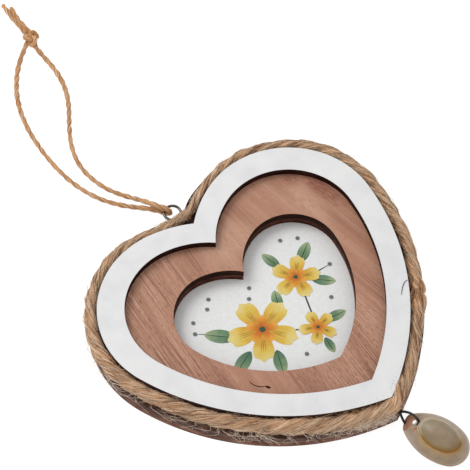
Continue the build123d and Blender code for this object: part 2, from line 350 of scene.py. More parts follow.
edgeBurn = {
    "stops": (0.36, 0.5, 0.64), "streakRun": 9, "streakDetail": 4.0, "streakRoughness": 0.6,
    "patchMm": 4, "patchDetail": 3.0, "patchShare": 0.3, "bump": (0.12, 0.6),
}
edgeTones = {  # dark, middle and light tone, and height of the streaks in mm
    "charredCutEdge": ("#150805", "#2A130D", "#4A2A20", 0.5),
    "litGapCutEdge": ("#2A1A18", "#46302C", "#6E524A", 0.4),
    # outer walls behind the rope: the charred edge made lighter, painted light for the shaded gap there
    "scorchedCutEdge": ("#341B15", "#563226", "#7A4D3E", 0.4),
    "smokedCutEdge": ("#2C1C19", "#5C443D", "#8A6E62", 0.3),
    "redBrownCutEdge": ("#3F261D", "#6C4A3C", "#9C7764", 0.25),
}


def cutEdge(name, stops, streakMm):
    # Laser cut plywood edge: charred, with streaks along the plies and sooty patches
    material, tree = newMaterial(name, {"Roughness": 0.8, "Specular IOR Level": 0.1})
    place = objectPlace(tree)
    run, rough = edgeBurn["streakRun"], edgeBurn["streakRoughness"]
    streaks = grained(tree, place, perMm(run, run, streakMm), edgeBurn["streakDetail"], Roughness=rough)
    patches = grained(tree, place, perMm(edgeBurn["patchMm"]), edgeBurn["patchDetail"])
    tone = mixValues(tree, edgeBurn["patchShare"], streaks, patches)
    dress(tree, ramp(tree, tone, stops), streaks, *edgeBurn["bump"])
    return material


# The heart's outline: cleft arc, lobe and flank arc on each side, as the plywood is cut

heartCut = {
    "lobeStart": math.radians(105.7), "lobeEnd": math.radians(-13.8), "setback": 0.3, "softEdge": 0.12,
    "softSteps": 2, "wallSlope": 0.5, "level": 0.99, "sharpAngle": 0.8, "steps": (14, 56, 50),
    "middle": Vector((0, 5 * mm, 0)),
    "front": (110.0, 54.0, 45.6, -47.5, 31.7),  # width, top, cleft, tip, lobe radius in mm
    "base": (118.6, 58.8, 51.07, -51.1, 38.8),
    "ropeLine": (110.0, 54.0, 45.6, -46.0, 31.7),
    "window": (92.4, 45.3, 34.7, -38.5, 24.3),
    "picture": (66.3, 30.6, 21.1, -24.4, 16.4),
}


def heading(angle):
    return Vector((math.cos(angle), math.sin(angle)))


def heartArcs(name):
    width, top, cleft, tip, lobeRadius = heartCut[name]
    lobe = Vector((width / 2 - lobeRadius, top - lobeRadius))
    arcs = [(lobe, lobeRadius)]
    for angle, axisY in ((heartCut["lobeStart"], cleft), (heartCut["lobeEnd"], tip)):
        out = heading(angle)
        reach = Vector((0, axisY)) - lobe - out * lobeRadius
        radius = -reach.length_squared / (2 * reach.dot(out))
        arcs.append((lobe + out * (lobeRadius - radius), radius))
    return arcs


def angleTo(centre, point):
    return math.atan2(point.y - centre.y, point.x - centre.x)


def halfTurns(name, cleftPoint, tipPoint):
    (lobe, _), (cleft, _), (flank, _) = heartArcs(name)
    start, end = heartCut["lobeStart"], heartCut["lobeEnd"]
    turns = (start - angleTo(cleft, cleftPoint), end - start, angleTo(flank, tipPoint) - end)
    return list(zip((cleft, lobe, flank), turns, heartCut["steps"]))


def mirrorTurns(turns):
    return [(Vector((-centre.x, centre.y)), turn, steps) for centre, turn, steps in reversed(turns)]


def axisPoint(centre, radius, side):  # where a circle meets the heart's axis, above or below its centre
    return Vector((0, centre.y + side * math.sqrt(radius**2 - centre.x**2)))


def heartTurns(name, grow):
    _, (cleft, cleftRadius), (flank, flankRadius) = heartArcs(name)
    cleftPoint = axisPoint(cleft, cleftRadius + grow, 1)
    half = halfTurns(name, cleftPoint, axisPoint(flank, flankRadius + grow, -1))
    return cleftPoint, half + mirrorTurns(half)


def spinLine(bm, start, turns, height):  # a line of arcs, each spun about its centre
    tail = bmesh.ops.create_vert(bm, co=(start.x * mm, start.y * mm, height))["vert"]
    for centre, turn, steps in turns:
        spun = bmesh.ops.spin(
            bm, geom=tail, cent=(centre.x * mm, centre.y * mm, height), axis=zAxis, angle=turn, steps=steps
        )
        tail = only(bmesh.types.BMVert, spun["geom_last"])


def spunPoints(start, turns, height):
    bm = bmesh.new()
    spinLine(bm, start, turns, height)
    points = [vert.co.copy() for vert in bm.verts]
    bm.free()
    return points


def heartLayer(name, node, outlines, materials):  # materials of the faces, of inner and of outer walls
    low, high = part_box(node)
    bm = bmesh.new()
    for outline, grow in outlines:
        spinLine(bm, *heartTurns(outline, grow), low.z)
    weld(bm)
    if len(outlines) > 1:
        bmesh.ops.bridge_loops(bm, edges=bm.edges[:])
    else:
        bmesh.ops.contextual_create(bm, geom=bm.edges[:])
    raiseFaces(bm, high.z - low.z)
    faceOutward(bm)
    for face in bm.faces:
        if abs(face.normal.z) < heartCut["wallSlope"]:
            outward = face.normal.dot(face.calc_center_median() - heartCut["middle"]) > 0
            face.material_index = 2 if outward else 1
    rims = [edge for edge in bm.edges if edge.calc_face_angle() > heartCut["sharpAngle"]]
    soften(bm, rims, heartCut["softEdge"], heartCut["softSteps"])
    for face in bm.faces:
        face.smooth = abs(face.normal.z) < heartCut["level"]
    bmesh.ops.triangulate(bm, faces=[face for face in bm.faces if len(face.verts) > 4])
    finishPiece(name, bm, materials, "frame", [node])


def buildLayers():
    char, litGapEdge, scorched, smoked, redBrown = [
        cutEdge(name, list(zip(edgeBurn["stops"], tones)), streakMm)
        for name, (*tones, streakMm) in edgeTones.items()
    ]
    veneer, spacerHole = brownVeneer(), ("picture", heartCut["setback"])
    # the panels' outer walls take the lighter edge, painted light in the gap behind the rope
    heartLayer("whiteFront", "front_panel", [("front", 0), ("window", 0)], [whiteEmulsion(), char, litGapEdge])
    heartLayer("brownMiddle", "middle_panel", [("front", 0), ("picture", 0)], [veneer, char, litGapEdge])
    heartLayer("spacerRing", "spacer_ring", [("base", 0), spacerHole], [smoked, scorched, smoked])
    heartLayer("backBoard", "back_board", [("base", 0)], [veneer, redBrown, redBrown])
    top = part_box("middle_panel")[1].z
    burnt = cutEdge("burntVeneerFlaw", [(0.4, "#2A0D06"), (0.6, "#54281A")], 0.5)
    for name, part in (("veneerFlaw", "flaw"), ("veneerKnot", "knot")):
        sunk, thickness = grain["sunk"][part]
        line = [Vector((x * mm, y * mm, top - sunk * mm)) for x, y in grain[part]]
        finishFibres(name, [line], thickness, burnt)
    print("plywood layers built")


# Jute: fibres laid along each ply, read from the ply's own lay attribute in mm

plyNoise = {"ridges": (2.1, 7.3), "grooves": (5.5, 3.1), "apart": 41}  # how fine, shift to the next ply
fibreLie = {"hug": 1.01, "touch": 0.8}  # in radii of the ply, and where it touches in half lengths
bluntEnd = 0.03  # what is left of a yarn's round at its very end
juteLay = {  # mm along a fibre and a bundle of them, a bundle's width in fibres, and how they show
    "fibreRun": 7.0, "bundleRun": 16.0, "bundleWidth": 4, "detail": 3.0, "bundleShare": 0.45,
    "bump": (0.2, 0.9),
}


def juteYarn(name, tones, fibreMm):
    # Jute yarn: dull gold-brown bast fibres with pale and dark ones among them
    material, tree = newMaterial(name, {"Roughness": 0.85, "Specular IOR Level": 0.2, "Sheen Weight": 0.25})
    lay = addNode(tree, "Attribute", {"attribute_name": "lay"}).outputs["Vector"]
    sizes = (fibreMm, juteLay["fibreRun"]), (fibreMm * juteLay["bundleWidth"], juteLay["bundleRun"])
    fibres, bundles = [
        grained(tree, lay, (1 / across, 1 / across, 1 / along), juteLay["detail"])
        for across, along in sizes
    ]
    tone = mixValues(tree, juteLay["bundleShare"], fibres, bundles)
    dress(tree, ramp(tree, tone, tones), fibres, *juteLay["bump"])
    return material


def juteFibre(name, dark, light):
    # Loose bast fibres: thin, some dark and some pale, a little shiny
    material, tree = newMaterial(name, {"Roughness": 0.6, "Specular IOR Level": 0.35})
    each = addNode(tree, "NewGeometry").outputs["Random Per Island"]
    dress(tree, ramp(tree, each, [(0.1, dark), (0.9, light)]))
    return material


def pathFrames(points):  # each with its point, side, up and length so far
    frames, along, up = [], 0.0, zAxis
    for i, point in enumerate(points):
        ahead = (points[min(i + 1, len(points) - 1)] - points[max(i - 1, 0)]).normalized()
        up = (up - ahead * up.dot(ahead)).normalized()
        if i:
            along += (point - points[i - 1]).length
        frames.append((point, ahead.cross(up), up, along))
    return frames


def frameAt(frames, i):
    return frames[min(max(i, 0), len(frames) - 1)]


def between(table, share):  # smooth value from a table of (share of the length, value)
    for (start, first), (end, last) in zip(table, table[1:]):
        if share <= end:
            t = (share - start) / (end - start)
            return first + (last - first) * t * t * (3 - 2 * t)
    return table[-1][1]


def swell(yarn, along, total):  # how thick the yarn is at a place, rounded off at its ends
    lumps = 1 + yarn["lumps"] * noise.noise(Vector((along / (yarn["lumpMm"] * mm), yarn["seed"], 0)))
    lumps *= between(yarn["girth"], along / total)
    nearEnd = min(along, total - along) / (yarn["endMm"] * mm)
    return lumps * math.sqrt(max(1 - (1 - min(nearEnd, 1)) ** 2, bluntEnd))


def plyPhase(yarn, along, ply):
    return fullTurn * (ply / yarn["plies"] + yarn["hand"] * along / (yarn["lay"] * mm))


def outOf(place, angle):  # direction away from a path, by the angle about it
    return place[1] * math.cos(angle) + place[2] * math.sin(angle)


def plyMiddle(yarn, place, ply, thick):
    return place[0] + outOf(place, plyPhase(yarn, place[3], ply)) * (yarn["offset"] * thick * mm)


def layPly(bm, frames, yarn, ply):
    layLayer = bm.verts.layers.float_vector.get("lay") or bm.verts.layers.float_vector.new("lay")
    sides, total = yarn["sides"], frames[-1][3]
    (ridges, ridgeShift), (grooves, grooveShift) = plyNoise["ridges"], plyNoise["grooves"]
    grid = bmesh.ops.create_grid(bm, x_segments=sides, y_segments=len(frames) - 1, size=mm)["verts"]
    for n, vert in enumerate(grid):
        row, column = divmod(n, sides + 1)
        place, along = frames[row], frames[row][3]
        turn = fullTurn * (column % sides) / sides
        spun = turn - yarn["hand"] * fullTurn * along / (yarn["spin"] * mm)
        thick = swell(yarn, along, total)
        across = heading(spun).to_3d()
        along /= mm
        ridge = noise.noise(across * ridges + zAxis * (along / yarn["ridgeMm"] + ridgeShift * ply))
        groove = noise.noise(across * grooves + zAxis * (along / yarn["grooveMm"] + grooveShift * ply))
        uneven = 1 + yarn["ridge"] * ridge + yarn["groove"] * groove
        radius = yarn["plyRadius"] * thick * uneven * mm
        vert.co = plyMiddle(yarn, place, ply, thick) + outOf(place, turn) * radius
        vert.co.z = max(vert.co.z, yarn["floor"] * mm)
        vert[layLayer] = across * yarn["plyRadius"] + zAxis * (along + plyNoise["apart"] * ply)


def laidYarn(points, yarn):
    frames = pathFrames(points)
    bm = bmesh.new()
    for ply in range(yarn["plies"]):
        layPly(bm, frames, yarn, ply)
    weld(bm)
    bmesh.ops.holes_fill(bm, edges=[edge for edge in bm.edges if edge.is_boundary], sides=0)
    faceOutward(bm)
    smoothFaces(bm)
    return bm, frames


def surfaceFibre(rng, frames, yarn, loose):
    # lies on the outside of a ply, runs on less steep than it and lifts off towards one end
    stride, count = loose["stride"], rng.randint(*loose["points"])
    first = rng.randrange(max(len(frames) - stride * count, 1))
    ply, turn = rng.randrange(yarn["plies"]), rng.uniform(-1, 1) * loose["spread"]
    lift, drift = rng.expovariate(1 / loose["lift"]), rng.uniform(-1, 1) * loose["drift"]
    strand, total, start = [], frames[-1][3], frames[first][3]
    for i in range(count):
        place, share = frameAt(frames, first + stride * i), i / (count - 1)
        angle = plyPhase(yarn, start + (place[3] - start) * loose["follow"], ply) + turn + drift * share
        thick = swell(yarn, place[3], total)
        off = lift * abs(2 * share - fibreLie["touch"]) ** 2
        radius = (yarn["plyRadius"] * thick * fibreLie["hug"] + off) * mm
        point = plyMiddle(yarn, place, ply, thick) + outOf(place, angle) * radius
        point.z = max(point.z, yarn["floor"] * mm)
        strand.append(point)
    return strand


# Rope round the rim

ropeYarn = {
    "plies": 3, "plyRadius": 1.54, "offset": 0.86, "lay": 24.0, "hand": 1, "spin": 40.0, "sides": 36,
    "lumps": 0.1, "lumpMm": 8.0, "endMm": 1.0, "ridge": 0.12, "ridgeMm": 6.0, "groove": 0.14,
    "grooveMm": 12.0, "seed": 3.7, "floor": 1.0,
    "tones": [(0.3, "#603A22"), (0.42, "#AF7E58"), (0.54, "#DAAE87"), (0.7, "#F6DDBE")], "fibreMm": 0.3,
    "girth": [  # by share of the length from the splice by the tip and the cleft back to it
        (0.0, 1.14), (0.02, 1.0), (0.05, 0.96), (0.085, 1.0), (0.11, 1.3), (0.128, 1.24), (0.155, 1.06),
        (0.18, 1.06), (0.215, 1.16), (0.24, 1.1), (0.265, 1.0), (0.3, 1.0), (0.345, 0.96), (0.375, 0.96),
        (0.41, 1.1), (0.45, 0.95), (0.5, 0.88), (0.56, 0.86), (0.6, 0.76), (0.64, 0.66), (0.67, 0.76),
        (0.7, 0.86), (0.72, 0.92), (0.745, 0.78), (0.78, 0.96), (0.8, 1.04), (0.86, 0.92), (0.94, 0.93),
        (0.98, 0.98), (1.0, 1.14),
    ],
}
ropeLay = {
    "offset": 2.55, "cleftRadius": 12.0, "tipRadius": 5.0, "splice": -43.0, "gap": 0.5, "stepMm": 0.6,
    "seed": 11,
    "bulge": [  # outwards in mm, by share of the length
        (0.0, 1.2), (0.02, 0.45), (0.05, 0.0), (0.085, 0.3), (0.11, -0.3), (0.128, 0.55), (0.155, 1.0),
        (0.18, 0.6), (0.21, 0.3), (0.265, 0.05), (0.3, 0.0), (0.345, -0.15), (0.39, -0.15), (0.42, 0.0),
        (0.46, -0.3), (0.5, -0.1), (0.54, -0.1), (0.563, -0.6), (0.588, -0.9), (0.605, 0.3), (0.618, 1.3),
        (0.632, 0.5), (0.645, -0.1), (0.668, -0.4), (0.7, -0.15), (0.72, 0.1), (0.79, 0.3), (0.84, 0.1),
        (0.9, 0.45), (0.935, 0.95), (0.98, 0.75), (1.0, 1.2),
    ],
    "rise": [  # upwards in mm
        (0.0, 0.2), (0.05, 0.0), (0.085, 0.1), (0.11, 0.9), (0.135, 0.2), (0.18, 0.0), (0.22, 0.6),
        (0.3, 0.7), (0.42, 1.1), (0.46, 0.6), (0.5, 0.0), (0.57, 0.4), (0.62, 0.2), (0.7, 0.3), (0.78, 0.7),
        (0.84, 0.3), (0.9, 0.0), (1.0, 0.2),
    ],
}
ropeFibres = {
    "rimRopeBundles": {
        "stride": 2, "points": (7, 14), "lift": 0.12, "drift": 1.3, "spread": 1.3, "follow": 0.5,
        "count": 1500, "thick": 0.21, "tones": ("#7C5034", "#EED0AC"),
    },
    "rimRopeFuzz": {
        "stride": 2, "points": (6, 13), "lift": 0.36, "drift": 2.6, "spread": 1.4, "follow": 0.2,
        "count": 2300, "thick": 0.1, "tones": ("#8A5E3E", "#F8E6CC"),
    },
}
strayHairs = {
    "thick": 0.08, "frayThick": 0.12, "darkThick": 0.26, "steps": 22, "curl": 1.3, "phase": (0, 6.28),
    "hang": {  # over the wall: run and drop as shares, how far it stands off, its waves and where it starts
        "run": (0.3, 1), "drop": (0.1, 0.85), "fall": 1.4, "stand": (0, 0.9), "waves": (3, 9),
        "start": (-0.2, 0.95), "off": 0.25, "floor": 0.1, "stray": 6,
    },
    "over": {  # over the gap: run along and across it, its waves, and its heights at both ends, in mm
        "run": (-5, 5), "start": (0.4, 1.6), "past": (-1.3, 0.25), "wave": 4, "above": 0.06,
        "below": (0.2, 2.2), "first": (1.2, 2.0),
    },
    "fray": {  # across the place where the rope's two ends meet
        "count": 50, "reach": (3, 9), "angle": (0.2, 2.1), "drift": (-0.5, 0.5), "slow": 6, "lift": 6,
        "sink": 0.8, "hug": (0.96, 1.02),
    },
    "tufts": [  # x, y beside the rope in mm, how many hairs hang there, how far they run in mm
        (-55.4, 35.5, 5, 7.0), (-56.8, 29.0, 7, 8.0), (-58.0, 21.4, 5, 8.0), (-57.7, 15.9, 5, 8.0),
        (-56.3, 7.8, 5, 10.0), (-52.0, -6.6, 6, 10.0), (-45.0, -14.5, 6, 9.0), (-39.2, -21.5, 8, 8.0),
        (-38.0, -24.0, 9, 6.5), (-36.7, -26.5, 9, 6.0), (-28.3, -33.7, 8, 4.0), (-24.0, -38.0, 7, 4.5),
        (-16.3, -42.5, 12, 4.5), (-12.3, -45.4, 18, 4.0), (-9.3, -47.9, 20, 4.0), (-6.4, -48.7, 20, 4.0),
        (-3.0, -49.1, 14, 3.0),
    ],
    "gaps": [  # share of the rope's length, spread about it, hairs over the gap to the white panel
        (0.115, 0.018, 110), (0.15, 0.025, 60), (0.22, 0.06, 40), (0.35, 0.08, 45), (0.06, 0.04, 30),
        (0.012, 0.012, 60), (0.99, 0.01, 60), (0.93, 0.03, 20), (0.415, 0.012, 24), (0.62, 0.015, 16),
    ],
    "straight": [  # two stiff fibres that stand off the near flank
        [(-18.5, -38.1, 7.0), (-21.4, -38.6, 4.0), (-24.4, -39.1, 0.9)],
        [(-18.6, -38.2, 6.9), (-19.6, -40.3, 3.8), (-20.4, -42.2, 0.9)],
    ],
    "dark": [  # one dark hair on the white panel by the splice
        (37.4, -21.8, 11.4), (36.3, -21.2, 11.9), (35.0, -20.85, 12.1), (33.7, -21.2, 12.1),
        (32.3, -21.95, 12.1), (31.0, -22.9, 12.1), (30.1, -23.6, 12.1),
    ],
}


def ropePoints():
    _, (cleft, cleftRadius), (flank, flankRadius) = heartArcs("ropeLine")
    grow, cleftRound, tipRound = ropeLay["offset"], ropeLay["cleftRadius"], ropeLay["tipRadius"]
    above = axisPoint(cleft, cleftRadius + grow + cleftRound, 1)
    below = axisPoint(flank, flankRadius + grow - tipRound, -1)
    cleftPoint = above + (cleft - above).normalized() * cleftRound
    tipPoint = below + (below - flank).normalized() * tipRound
    half = [(above, angleTo(above, cleftPoint) + math.pi / 2, 0)]
    half += halfTurns("ropeLine", cleftPoint, tipPoint)
    tipTurn = (below, -math.pi / 2 - angleTo(below, tipPoint), 0)
    splice = math.radians(ropeLay["splice"])
    gap = ropeLay["gap"] / 2 / (flankRadius + grow)
    upTo = (flank, splice + gap - heartCut["lobeEnd"], 0)
    past = (flank, angleTo(flank, tipPoint) - splice + gap, 0)
    turns = [past, tipTurn, *mirrorTurns([*half, tipTurn]), *half[:3], upTo]
    start = flank + heading(splice - gap) * (flankRadius + grow)
    end, fine = start.copy(), []
    for centre, turn, _ in turns:
        length = abs(turn) * (end - centre).length
        fine.append((centre, turn, max(2, round(length / ropeLay["stepMm"]))))
        end = centre + Matrix.Rotation(turn, 2) @ (end - centre)
    low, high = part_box("rim_rope")
    line = pathFrames(spunPoints(start, fine, (low.z + high.z) / 2))
    laid, total = [], line[-1][3]
    for point, side, up, along in line:
        out, rise = [between(ropeLay[way], along / total) for way in ("bulge", "rise")]
        laid.append(point + (up * rise - side * out) * mm)
    return laid


def ropeRadius(along, total, share=1.0):
    return (ropeYarn["plyRadius"] + ropeYarn["offset"] * share) * between(ropeYarn["girth"], along / total)


def hairSteps():
    return [i / (strayHairs["steps"] - 1) for i in range(strayHairs["steps"])]


def hangingHair(rng, place, total, reach, edge):  # from the rope along and down over the wall of the base
    hang = strayHairs["hang"]
    point, side, up, along = place
    ahead = up.cross(side)
    wall = min((spot.xy - point.xy).length for spot in edge) / mm + hang["off"]
    girth = ropeRadius(along, total)
    run = rng.choice((-1, 1)) * rng.uniform(*hang["run"]) * reach
    drop = rng.uniform(*hang["drop"]) * point.z / mm
    spans = hang["stand"], strayHairs["phase"], hang["waves"]
    stand, phase, waves = [rng.uniform(*span) for span in spans]
    start = rng.uniform(*hang["start"]) * girth
    strand = []
    for t in hairSteps():
        curl = strayHairs["curl"] * math.sin(phase + waves * t)
        rise = start * (1 - t) ** 2 - drop * t ** hang["fall"]
        out = math.sqrt(girth**2 - rise**2) if 0 < rise < girth else max(wall, girth)
        spot = point + (ahead * (run * t + curl) - side * (out + stand * math.sin(math.pi * t))) * mm
        spot.z = max(point.z + (rise + curl * t) * mm, hang["floor"] * mm)
        strand.append(spot)
    return strand


def gapHair(rng, place, total):  # from the rope's top over the gap, to lie on the white panel or in the gap
    over = strayHairs["over"]
    point, side, up, along = place
    ahead, top = up.cross(side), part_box("front_panel")[1].z
    gap = ropeLay["offset"] + between(ropeLay["bulge"], along / total)
    spans = over["run"], over["start"], over["past"], strayHairs["phase"]
    run, start, past, phase = [rng.uniform(*span) for span in spans]
    end = top + (over["above"] if past > 0 else -rng.uniform(*over["below"])) * mm
    first = point.z + rng.uniform(*over["first"]) * mm
    strand = []
    for t in hairSteps():
        curl = strayHairs["curl"] * t * math.sin(phase + over["wave"] * t)
        spot = point + (ahead * (run * t + curl) + side * (start + (gap + past - start) * t)) * mm
        spot.z = first + (end - first) * t
        strand.append(spot)
    return strand


def frayHair(rng, frames, total):  # over the splice, from one end of the rope to the other
    fray = strayHairs["fray"]
    back, on = rng.randint(*fray["reach"]), rng.randint(*fray["reach"])
    angle, drift = rng.uniform(*fray["angle"]), rng.uniform(*fray["drift"])
    stand, strand = rng.expovariate(fray["lift"]), []
    for place in frames[-back:] + frames[:on]:
        angle += drift / fray["slow"]
        radius = ropeRadius(place[3], total, fray["sink"]) * rng.uniform(*fray["hug"]) + stand
        strand.append(place[0] + outOf(place, angle) * radius * mm)
    return strand


def buildRope():
    brown = juteYarn("laidJuteRope", ropeYarn["tones"], ropeYarn["fibreMm"])
    bm, frames = laidYarn(ropePoints(), ropeYarn)
    finishPiece("rimRope", bm, [brown], "frame", ["rim_rope"])
    rng, total = random.Random(ropeLay["seed"]), frames[-1][3]
    for name, loose in ropeFibres.items():
        strands = [surfaceFibre(rng, frames, ropeYarn, loose) for _ in range(loose["count"])]
        finishFibres(name, strands, loose["thick"], juteFibre(name + "Jute", *loose["tones"]))
    hairs = [inMetres(strand) for strand in strayHairs["straight"]]
    edge, stray = spunPoints(*heartTurns("base", 0), 0), strayHairs["hang"]["stray"]
    for x, y, count, reach in strayHairs["tufts"]:
        nearest = min(range(len(frames)), key=lambda i: (frames[i][0].xy - Vector((x, y)) * mm).length)
        for _ in range(count):
            place = frameAt(frames, nearest + rng.randint(-stray, stray))
            hairs.append(hangingHair(rng, place, total, reach, edge))
    bleached = juteFibre("bleachedJuteHair", "#E9D3B8", "#FFF3E2")
    finishFibres("rimRopeHairs", hairs, strayHairs["thick"], bleached)
    hairs = [frayHair(rng, frames, total) for _ in range(strayHairs["fray"]["count"])]
    for share, spread, count in strayHairs["gaps"]:
        for _ in range(count):
            at = round((share + rng.uniform(-spread, spread)) * (len(frames) - 1))
            hairs.append(gapHair(rng, frameAt(frames, at), total))
    dusky = juteFibre("duskyJuteFibre", "#6A3C24", "#DDB185")
    finishFibres("rimRopeFray", hairs, strayHairs["frayThick"], dusky)
    sooty = juteFibre("darkLooseHair", "#17171A", "#2E2E31")
    finishFibres("darkHair", [inMetres(strayHairs["dark"])], strayHairs["darkThick"], sooty)
    print("rope laid,", round(total / mm), "mm")


# Hanging loop of twine

twineYarn = {
    "plies": 2, "plyRadius": 0.69, "offset": 0.27, "lay": 7.6, "hand": -1, "spin": 14.0, "sides": 14,
    "lumps": 0.1, "lumpMm": 3.5, "endMm": 0.7, "ridge": 0.14, "ridgeMm": 2.5, "groove": 0.08,
    "grooveMm": 5.0, "seed": 9.1, "floor": 0.02,
    "tones": [(0.34, "#7E4722"), (0.44, "#B97E49"), (0.54, "#DCAA78"), (0.66, "#F7E0C2")], "fibreMm": 0.18,
    "girth": [
        (0.0, 1.08), (0.05, 1.0), (0.2, 0.86), (0.45, 0.88), (0.66, 1.02), (0.86, 0.92), (0.95, 1.02),
        (1.0, 0.9),
    ],
}
twineFuzz = {
    "stride": 2, "points": (5, 12), "lift": 0.14, "drift": 1.2, "spread": 1.5, "follow": 0.5, "count": 420,
    "thick": 0.055,
}
twineLoop = {
    "diameter": 1.7, "heading": 25.0, "wrapGap": 0.15, "firstRun": 4.2, "slack": 0.7, "smoothness": 16,
    "seeds": (21, 22),
    "left": [  # from the eye's middle and above the floor, in mm
        (-6.8, 11.8, 1.45), (-10.4, 18.0, 0.45), (-13.3, 25.1, 0.0), (-15.0, 33.6, 0.0), (-15.2, 42.1, 0.0),
        (-14.1, 51.6, 0.0), (-12.0, 61.1, 0.0), (-8.8, 70.1, 0.0), (-4.0, 78.4, 0.0), (2.4, 85.4, 0.0),
        (9.2, 90.4, 0.0), (14.7, 93.2, 0.4), (15.9, 94.0, 0.5), (17.5, 100.6, 0.0), (18.2, 106.6, 0.0),
        (19.5, 113.3, 0.0),
    ],
    "right": [
        (-3.8, 10.6, 3.75), (-6.0, 17.1, 1.75), (-8.3, 24.6, 0.25), (-9.2, 33.1, 0.0), (-8.0, 41.2, 0.0),
        (-4.4, 48.4, 0.0), (0.6, 54.8, 0.0), (6.4, 61.2, 0.0), (10.8, 68.2, 0.0), (13.4, 75.8, 0.0),
        (14.4, 83.6, 0.0), (15.0, 90.1, 0.6), (17.8, 94.2, 0.8), (18.3, 100.2, 0.5), (19.1, 105.4, 0.3),
        (21.0, 110.0, 0.0),
    ],
}
eyeWire = {
    "ring": 2.9, "wire": 1.0, "offset": 0.8, "gapDegrees": 26.0, "neckTurn": -90.0, "neckSteps": 8,
    "sides": 14, "steps": 72, "smoothness": 3,
}


def eyeMiddle():
    low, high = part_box("screw_eye")
    outer = (eyeWire["ring"] + eyeWire["wire"] / 2) * mm
    return Vector((eyeWire["offset"] * mm, high.y - outer, (low.z + high.z) / 2))


def strandRoute(side, name):
    eye, away = eyeMiddle(), heading(math.radians(twineLoop["heading"] + 90)).to_3d()
    wire = eye + away * eyeWire["ring"] * mm
    wrap = (eyeWire["wire"] / 2 + twineLoop["wrapGap"] + twineLoop["diameter"] / 2) * mm
    inside = wire - away * (wrap + twineLoop["slack"] * mm)
    corner = inside + zAxis * (side * wrap)
    first = wire + zAxis * (side * wrap) + away * twineLoop["firstRun"] * mm
    above = Vector((eye.x, eye.y, twineLoop["diameter"] / 2 * mm))
    return [inside, corner, first, *[above + spot for spot in inMetres(twineLoop[name])]]


def buildLoop():
    pale = juteYarn("twistedJuteTwine", twineYarn["tones"], twineYarn["fibreMm"])
    fuzz = juteFibre("looseTwineFibre", "#9A6840", "#EFDCC4")
    knot = buildKnot(pale)
    for name, side, seed in zip(("left", "right"), (-1, 1), twineLoop["seeds"]):
        points = splinePoints(name + "TwineLine", strandRoute(side, name), twineLoop["smoothness"])
        bm, frames = laidYarn(points, twineYarn)
        nodes = [f"loop_{name}_strand", f"loop_tail_{name}"]
        twine = finishPiece(name + "Twine", bm, [pale], "hanging_loop", nodes)
        rng = random.Random(seed)
        strands = [surfaceFibre(rng, frames, twineYarn, twineFuzz) for _ in range(twineFuzz["count"])]
        fibres = finishFibres(
            name + "TwineFibres", strands, twineFuzz["thick"], fuzz, "hanging_loop"
        )
        print(name, "twine laid,", round(frames[-1][3] / mm), "mm")


knotTurns = {
    "size": 0.78, "stretch": 1.28, "rise": 0.85, "tilt": 24.0, "points": 30, "back": 0.5, "smoothness": 5,
    "start": math.pi / 6,
    "yarn": {**twineYarn, "plyRadius": 0.74, "offset": 0.28},
}


def trefoil(t):  # an overhand knot drawn tight
    return Vector((math.sin(t) + 2 * math.sin(2 * t), math.cos(t) - 2 * math.cos(2 * t), -math.sin(3 * t)))


def buildKnot(material):  # its ends lie below
    low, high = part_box("loop_knot")
    middle = (low + high) / 2 - Vector((0, knotTurns["back"] * mm, 0))
    lean = Matrix.Translation(middle) @ Matrix.Rotation(math.radians(-knotTurns["tilt"]), 4, "Z")
    size = knotTurns["size"]
    form = Matrix.Diagonal((size, size * knotTurns["stretch"], knotTurns["rise"])) * mm
    start, count = knotTurns["start"], knotTurns["points"]
    route = [lean @ (form @ trefoil(fullTurn * i / count + start)) for i in range(count + 1)]
    bm, _ = laidYarn(splinePoints("knotLine", route, knotTurns["smoothness"]), knotTurns["yarn"])
    return finishPiece("loopKnot", bm, [material], "hanging_loop", ["loop_knot"])


# Steel eye at the cleft

def bentSteel():
    # Polished wire, zinc plated: bright with soft dark reflections and fine drawing lines
    return cloudyFinish(
        "platedSteelWire", {"Metallic": 1.0, "Roughness": 0.2}, (0.9, 3.0),
        [(0.35, "#4B4743"), (0.7, "#98948F")], (0.9, 3.0, 0.02, 0.4),
    )


def buildEye():
    eye = eyeMiddle()
    low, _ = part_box("screw_eye")
    ring, steps, neckSteps = eyeWire["ring"] * mm, eyeWire["steps"], eyeWire["neckSteps"]
    start, around = math.radians(eyeWire["neckTurn"]), math.radians(360 - eyeWire["gapDegrees"])
    rise = (eye.y - ring - low.y) / neckSteps
    route = [Vector((eye.x, low.y + rise * i, eye.z)) for i in range(neckSteps)]
    route += [eye + heading(start + around * i / steps).to_3d() * ring for i in range(steps + 1)]
    points = splinePoints("eyeLine", route, eyeWire["smoothness"])
    mesh = wireMesh("screwEye", points, eyeWire["wire"] / 2, eyeWire["sides"])
    finishPiece("screwEye", mesh, [bentSteel()], "frame", ["screw_eye"])
    print("screw eye bent")


# Pendant: black cord, its knot and the cowrie

pendant = {
    "heading": 10.8, "cordRadius": 0.43, "sides": 10, "smoothness": 10,
    "route": [  # along, across and up from under the knot, in mm
        (0.2, 0.15, 7.2), (1.5, 0.4, 8.2), (3.2, 0.5, 9.2), (5.0, 0.1, 10.1), (6.8, -0.5, 10.5),
        (7.7, -1.1, 9.6), (7.8, -1.4, 7.8), (6.9, -1.4, 5.4), (5.2, -1.1, 3.6), (3.6, -0.9, 2.7),
        (2.3, -0.8, 3.6), (1.0, -0.45, 5.4), (0.2, -0.15, 6.6),
    ],
    "bends": [(1.6, 0, 5), (5.2, 0, 5)],  # two points along the cord, one near the knot and one near the shell
    "tail": [(-0.2, -0.3, 6.8), (-0.6, -0.9, 5.6), (-1.0, -1.6, 4.0), (-1.3, -2.3, 2.6)],
    "tailThin": 0.8, "tailSmoothness": 6, "anchorSteps": 6,
    "knotSize": 0.21, "knotRise": 0.3, "knotPoints": 40, "knotThin": 0.85,
}
